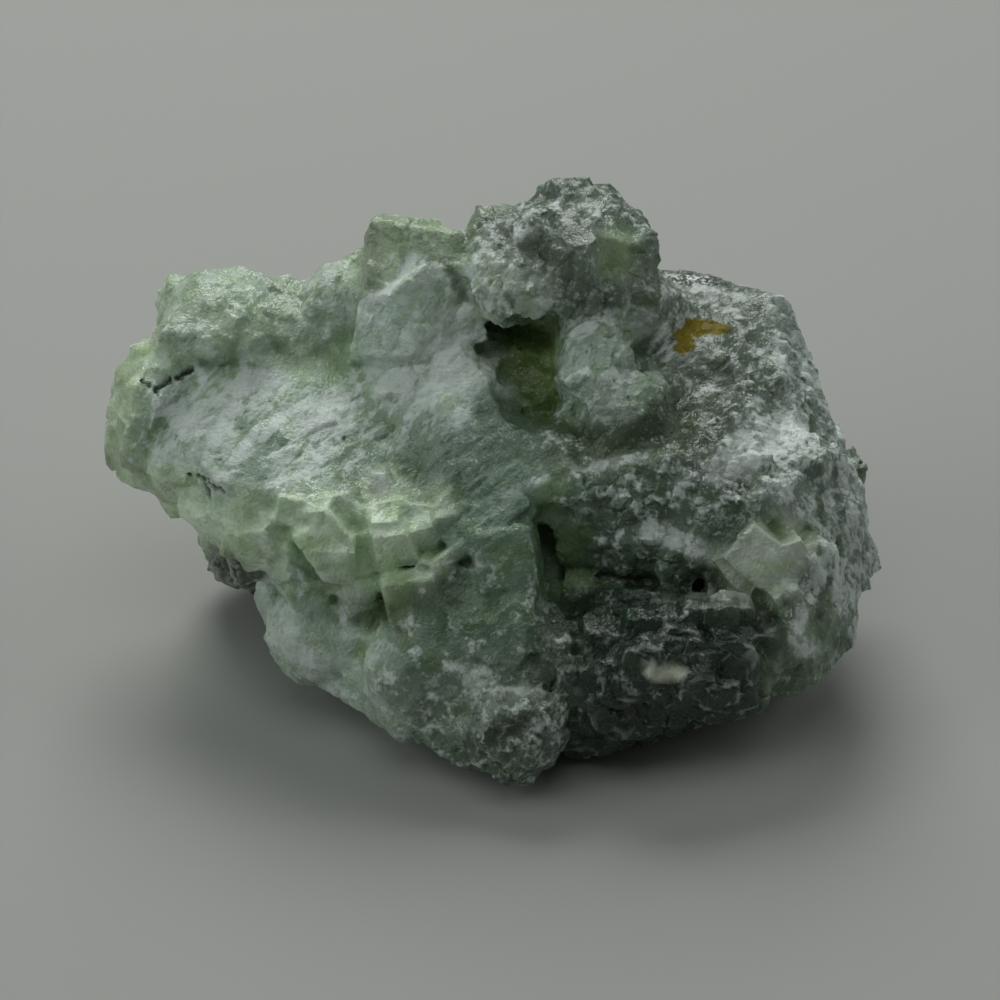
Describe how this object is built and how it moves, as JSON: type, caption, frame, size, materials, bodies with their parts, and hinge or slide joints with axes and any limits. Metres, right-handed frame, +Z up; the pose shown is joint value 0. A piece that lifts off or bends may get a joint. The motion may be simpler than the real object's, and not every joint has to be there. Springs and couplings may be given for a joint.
{
  "type": "rough prehnite specimen",
  "caption": "Hand-sized rough piece of pale green prehnite, knobs of tabular crystals grown together around a saddle, resting on its flat underside.",
  "frame": {"origin": "middle of the bounding box's base, on the surface that the stone rests on", "axes": "+Z up, X along the stone's length with the pale mass at -X and the dark mass at +X, the pictured front towards -Y"},
  "size_m": [0.0666, 0.0452, 0.0387],
  "materials": {
    "prehnite": "satin"
  },
  "bodies": {
    "root": {"prehnite": "prehnite"}
  },
  "joints": []
}
